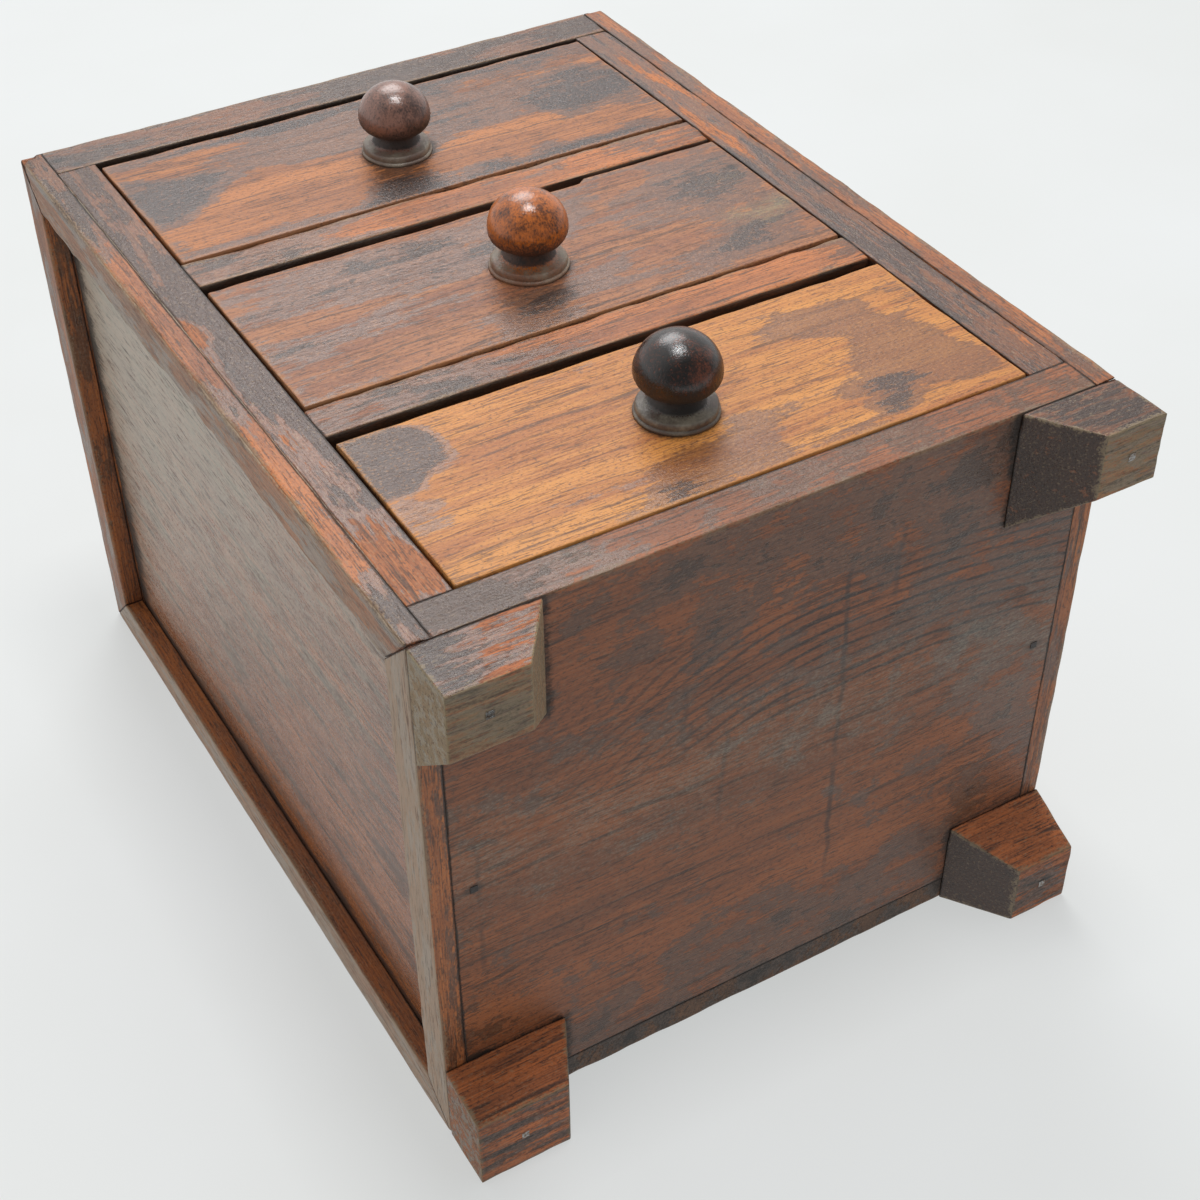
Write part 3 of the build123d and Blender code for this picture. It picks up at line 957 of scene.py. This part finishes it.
def soil_and_shade_underside(board):
    """Patches of varnish on the underside, dust that thickens towards its middle and is also a painted sheen,
    dirt and painted contact shade around the feet, and dust on the front edge.
    """
    feet = [[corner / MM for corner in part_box(f"{name}_foot")] for name in FOOT_TIPS]

    def foot_dirt_and_shade(place):
        gaps = []
        for low, high in feet:
            beside = max(low.x - place.x, place.x - high.x, 0.0)
            gaps.append(hypot(beside, max(low.y - place.y, place.y - high.y, 0.0)))
        return near(min(gaps), FOOT_DIRT_AND_SHADE_REACH)

    # Dirt and painted contact shade round the feet
    board.mark("dirt_and_shade", foot_dirt_and_shade, LOWER_FACE)
    # Dust towards the middle of the underside, which also stands in for a painted greyish sheen
    board.mark("dust", lambda place: UNDERSIDE_DUST_AND_SHEEN * near(abs(place.y), UNDERSIDE_DUST_AND_SHEEN_REACH), LOWER_FACE)
    board.mark("dust", BOTTOM_EDGE_DUST, FRONT_FACE)
    board.mark("stain", lambda place: patch_level(UNDERSIDE_PATCHES, place.x, place.y), LOWER_FACE, adds=True)


def add_strip(side, name, seed):
    """One mitred strip of a side frame, dusty on the outside."""
    length, across, outer_high = STRIPS[name]
    outward = "-x" if side == "left" else "+x"
    worn = SPLINTERED_RADIUS if (side, name) == ("left", "front") else WORN_RADIUS
    node = f"{side}_{name}_strip"
    board = Board(node, f"{outward} -{across} +{across}", FINE_STEP, STRIP_COVER, seed, worn=worn)
    board.mark("dust", SIDE_DUST[name], (0, side == "right"))
    for upper in (False, True):
        board.mark("dust", RECESS_DUST[name], (AXES.index(across), upper))
    if worn > WORN_RADIUS:
        for i, wear in enumerate(board.marks["wear"]):
            board.marks["dust"][i] = max(board.marks["dust"][i], SPLINTER_DUST * step_up(wear, 0.6, 0.95))
    # Painted light: varnish is taken off the back strip's inner face so that it shows lighter
    if name == "back":
        board.mark("stain", BACK_STRIP_PAINTED_LIGHT, FRONT_FACE, adds=True)
    mitre(board, length, across, outer_high)
    return dress(board, "case", length, seed)


def add_foot(corner, seed):
    """One wedge foot: dusty on its tip and outside, and darker on its inner side."""
    board = Board(f"{corner}_foot", "-x +x -y +y -z", FOOT_STEP, FINISHES["foot"]["cover"], seed)
    left = "left" in corner
    end = corner.split("_")[0]
    board.mark("dust", TIP_DUST[end], LOWER_FACE)
    board.mark("dirt_and_shade", TIP_DIRT[end], LOWER_FACE)
    board.mark("dust", FOOT_DUST[end], (0, not left))
    # Painted shade: more varnish darkens the inner sides of the feet
    board.mark("stain", INNER_SHADE[corner], (0, left), adds=True)
    # Dust on the front left foot's inner side, which also lightens it as painted light
    board.mark("dust", INNER_DUST_AND_LIGHT.get(corner, 0.0), (0, left))
    board.mark("stain", FOOT_FRONTS[end], FRONT_FACE, adds=True)
    taper(board, corner)
    return dress(board, "foot", "x", seed)


def add_drawer(drawer, seed):
    """The boards and the knob of one drawer."""
    look_name = f"{drawer}_front"
    cover = FINISHES[look_name]["cover"]
    front = Board(f"{drawer}_drawer_front", "-y +x -x +z -z", FINE_STEP, cover, seed, proud="-y")
    patches = DUST_PATCHES.get(drawer, [])
    front.mark("dust", lambda place: patch_level(patches, place.x, place.z), FRONT_FACE)
    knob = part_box(f"{drawer}_drawer_knob")
    middle, foot = (knob[0] + knob[1]) / 2 / MM, KNOB_START[0] - 1.0

    def knob_dirt(place):
        return near(hypot(place.x - middle.x, place.z - middle.z) - foot, KNOB_DIRT_REACH)

    front.mark("dirt_and_shade", knob_dirt, FRONT_FACE)
    raise_rim(front, RIM_LIFTS[drawer])
    dress(front, look_name, "x", seed)
    for number, (name, (grain, shown)) in enumerate(DRAWER_BOARDS.items()):
        board_seed = seed + 2.3 * number + 1.0
        board = Board(f"{drawer}_drawer_{name}", shown, COARSE_STEP, FINISHES["inside"]["cover"], board_seed)
        dress(board, "inside", grain, board_seed)
    add_knob(drawer, seed + 5.0)


# Knobs: the turned outline starts on the drawer front and goes on in quarter rounds, each given by the radius
# and height where it ends and by whether it sets out along the knob's length
KNOB_START = (9.9, 0.0)
KNOB_ROUNDS = [
    ((10.5, 0.6), False), ((9.9, 1.2), True), ((10.0, 2.1), False), ((9.4, 3.0), True),
    ((5.6, 7.0), False), ((10.6, 11.6), False), ((0.0, 21.4), True),
]

# How finely a knob is cut, how far it is out of round, and its size and wood by drawer
KNOB_STEP = 1.1
KNOB_SIDES = 56
KNOB_WOBBLE, KNOB_WOBBLE_LENGTH = 0.025, 6.0
KNOB_SIZES = {"top": 0.95, "middle": 1.0, "bottom": 1.0}
KNOB_WOODS = {
    "top": {"light": srgb(136, 98, 84), "dark": srgb(72, 55, 51), "cover": 0.42},
    "middle": {"light": srgb(190, 104, 38), "dark": srgb(70, 40, 27), "cover": 0.4},
    "bottom": {"light": srgb(104, 54, 34), "dark": srgb(17, 13, 11), "cover": 0.66},
}

# Soil and painted shade on a knob: height of its neck, dirt and painted shade there, its reach and the reach
# of painted shade under the ball above it, and height of its flange, dust there and its reach
KNOB_NECK = 7.0
KNOB_NECK_DIRT_AND_SHADE, KNOB_NECK_REACH, KNOB_BALL_REACH = 1.2, 4.0, 11.0
KNOB_FLANGE = 2.8
KNOB_FLANGE_DUST, KNOB_FLANGE_REACH = 0.85, 2.0


def knob_outline():
    """Radius and height of the points of a knob's outline, from the drawer front to its tip."""
    points = [KNOB_START]
    for (radius, height), lengthwise in KNOB_ROUNDS:
        start_radius, start_height = points[-1]
        count = max(3, round(hypot(radius - start_radius, height - start_height) / KNOB_STEP))
        for i in range(1, count + 1):
            turn = pi / 2 * i / count
            early, late = sin(turn), 1 - cos(turn)
            across, out = (late, early) if lengthwise else (early, late)
            points.append((start_radius + (radius - start_radius) * across,
                           start_height + (height - start_height) * out))
    return points


def knob_soil_and_shade(radius, height):
    """Dirt and painted shade in the neck of a knob, painted shade under its ball, and dust on its flange, at
    a place of its outline.
    """
    inward = step_up(KNOB_START[0] - radius, 2.2, 3.4)
    # Painted shade under the ball, fading upwards from the neck, and dirt with painted shade in the neck
    under = step_up(height, KNOB_NECK - 1.0, KNOB_NECK) * near(height - KNOB_NECK, KNOB_BALL_REACH)
    dirt_and_shade = max(under, KNOB_NECK_DIRT_AND_SHADE * inward * near(height - KNOB_NECK, KNOB_NECK_REACH))
    return dirt_and_shade, KNOB_FLANGE_DUST * near(height - KNOB_FLANGE, KNOB_FLANGE_REACH)


def turned_faces(rings):
    """Quads between the rings of a turned piece, its flat foot, and triangles up to its tip."""
    faces = []
    for ring in range(rings - 1):
        start, above = ring * KNOB_SIDES, (ring + 1) * KNOB_SIDES
        for side in range(KNOB_SIDES):
            after = (side + 1) % KNOB_SIDES
            faces.append([start + side, start + after, above + after, above + side])
    faces.append(list(range(KNOB_SIDES - 1, -1, -1)))
    last, tip = (rings - 1) * KNOB_SIDES, rings * KNOB_SIDES
    return faces + [[last + side, last + (side + 1) % KNOB_SIDES, tip] for side in range(KNOB_SIDES)]


def add_knob(drawer, seed):
    """A turned knob on its drawer front, a little out of round, with dirt and painted shade in its neck and
    painted shade under its ball.
    """
    node = f"{drawer}_drawer_knob"
    low, high = [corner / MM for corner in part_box(node)]
    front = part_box(f"{drawer}_drawer_front")[0].y / MM
    middle = Vector(((low.x + high.x) / 2, front, (low.z + high.z) / 2))
    drift = Vector((seed, seed, seed))
    *outline, tip = knob_outline()
    points, marks = [], {"dirt_and_shade": [], "dust": []}
    for radius, height in outline:
        dirt_and_shade, dust = knob_soil_and_shade(radius, height)
        marks["dirt_and_shade"] += [dirt_and_shade] * KNOB_SIDES
        marks["dust"] += [dust] * KNOB_SIDES
        for side in range(KNOB_SIDES):
            turn = 2 * pi * side / KNOB_SIDES
            spot = Vector((cos(turn) * radius, -height, sin(turn) * radius)) * KNOB_SIZES[drawer]
            wobble = 1.0 + KNOB_WOBBLE * noise.noise(spot / KNOB_WOBBLE_LENGTH + drift)
            points.append(middle + Vector((spot.x * wobble, spot.y, spot.z * wobble)))
    points.append(middle + Vector((0.0, -tip[1] * KNOB_SIZES[drawer], 0.0)))
    for values in marks.values():
        values.append(0.0)
    material = turned_wood(node, seed=seed, **KNOB_WOODS[drawer])
    return add_piece(node, points, turned_faces(len(outline)), marks, material)


def paint_nails():
    """Iron on the nails of the frame, brighter on the feet."""
    dark, worn = nail_iron("dark_iron", *DARK_IRON), nail_iron("worn_iron", *WORN_IRON)
    for node, part in frame["nodes"].items():
        if node.endswith("nails"):
            part.data.materials.clear()
            part.data.materials.append(worn if node == "foot_nails" else dark)


# Camera, light and floor

def add_camera():
    """The camera of the photograph."""
    ahead = VIEW_DIRECTION.normalized()
    right = Matrix.Rotation(ROLL, 3, ahead) @ ahead.cross(PICTURE_UP).normalized()
    up = right.cross(ahead)
    data = bpy.data.cameras.new("camera")
    data.sensor_width = SENSOR_WIDTH
    data.lens = FOCAL_LENGTH
    data.shift_y = LENS_SHIFT_UP
    camera = bpy.data.objects.new("camera", data)
    turn = Matrix((right, up, -ahead)).transposed().to_4x4()
    camera.matrix_world = Matrix.Translation(EYE * MM) @ turn
    bpy.context.scene.collection.objects.link(camera)
    bpy.context.scene.camera = camera


def add_lamp(name, direction, distance, size, watts):
    """A square soft light that faces the middle of the chest."""
    data = bpy.data.lights.new(name, "AREA")
    data.size = size * MM
    data.energy = watts
    lamp = bpy.data.objects.new(name, data)
    towards = Vector(direction).normalized()
    turn = towards.to_track_quat("Z", "Y").to_matrix().to_4x4()
    lamp.matrix_world = Matrix.Translation(chest_middle + towards * distance * MM) @ turn
    lamp.visible_camera = False
    bpy.context.scene.collection.objects.link(lamp)


def light_room():
    """A pale room that lights softly. It looks paler than it lights, and mirrors darker behind the camera."""
    world = bpy.data.worlds.new("room")
    bpy.context.scene.world = world
    nodes = Nodes(world)
    direction = nodes.node("ShaderNodeTexCoord", {}, output="Generated")
    ahead = nodes.node("ShaderNodeSeparateXYZ", {0: direction}, output="Z")
    limits = {"From Min": -0.5, "From Max": 0.3, "To Min": ROOM_BEHIND, "To Max": ROOM_SEEN}
    mirrored = nodes.node("ShaderNodeMapRange", {"Value": ahead, **limits})
    strength = ROOM_LIGHT
    for ray, seen in (("Is Glossy Ray", mirrored), ("Is Camera Ray", ROOM_SEEN)):
        choice = nodes.node("ShaderNodeLightPath", {}, output=ray)
        strength = nodes.node("ShaderNodeMix", {"Factor": choice, "A": strength, "B": seen})
    white = (1.0, 1.0, 1.0, 1.0)
    nodes.show(nodes.node("ShaderNodeBackground", {"Color": white, "Strength": strength}), "World")


def floor_material():
    """Pale painted board, seen from its upper side only."""
    shader = Shader("pale_floor")
    place = shader.node("ShaderNodeTexCoord", {}, output="Object")
    spot = shader.node("ShaderNodeVectorMath", {0: place, "Scale": 7.0}, operation="SCALE")
    cloud = shader.noise(spot, detail=4.0)
    colour = shader.blend(cloud, *FLOOR_PAINT)
    paint = shader.node("ShaderNodeBsdfDiffuse", {"Color": colour})
    glow = shader.node("ShaderNodeEmission", {"Color": colour})
    paint = shader.node("ShaderNodeMixShader", {0: FLOOR_GLOW, 1: paint, 2: glow})
    behind = shader.node("ShaderNodeNewGeometry", {}, output="Backfacing")
    nothing = shader.node("ShaderNodeBsdfTransparent", {})
    shader.show(shader.node("ShaderNodeMixShader", {0: behind, 1: paint, 2: nothing}))
    return shader.material


def add_floor(name, middle, across, along, material, mirrored):
    """A wide sheet that takes the chest's shadow, and may be mirrored in the chest."""
    half = FLOOR_SIZE / 2 * MM
    corners = [middle + across * half * a + along * half * b for a, b in ((-1, -1), (1, -1), (1, 1), (-1, 1))]
    mesh = bpy.data.meshes.new(name)
    mesh.from_pydata(corners, [], [(0, 1, 2, 3)])
    mesh.materials.append(material)
    sheet = bpy.data.objects.new(name, mesh)
    for kind in ("diffuse", "transmission", "volume_scatter", "shadow"):
        setattr(sheet, f"visible_{kind}", False)
    sheet.visible_glossy = mirrored
    bpy.context.scene.collection.objects.link(sheet)


def add_stage():
    """The table under the chest's back, as photographed, and the ground under its feet."""
    material = floor_material()
    back = Vector((chest_middle.x, cad_box[1].y, chest_middle.z))
    under = Vector((chest_middle.x, chest_middle.y, cad_box[0].z))
    add_floor("table", back, Vector((1, 0, 0)), Vector((0, 0, 1)), material, True)
    add_floor("ground", under, Vector((1, 0, 0)), Vector((0, 1, 0)), material, False)


# The chest: each piece has a seed of its own, so that no two have the same grain

for order, (node, (look_name, grain, shown)) in enumerate(CASE_BOARDS.items()):
    add_case_board(node, look_name, grain, shown, 3.7 * order + 1.3)
for order, side in enumerate(("left", "right")):
    for number, name in enumerate(STRIPS):
        add_strip(side, name, 40.0 + 11.3 * order + 2.9 * number)
for order, corner in enumerate(FOOT_TIPS):
    add_foot(corner, 80.0 + 4.1 * order)
for order, drawer in enumerate(DRAWERS):
    add_drawer(drawer, 110.0 + 13.7 * order)

paint_nails()

add_camera()
add_lamp("soft_box", **SOFT_BOX)
add_lamp("window", **WINDOW)
light_room()
add_stage()
bpy.context.scene.view_settings.view_transform = "Standard"
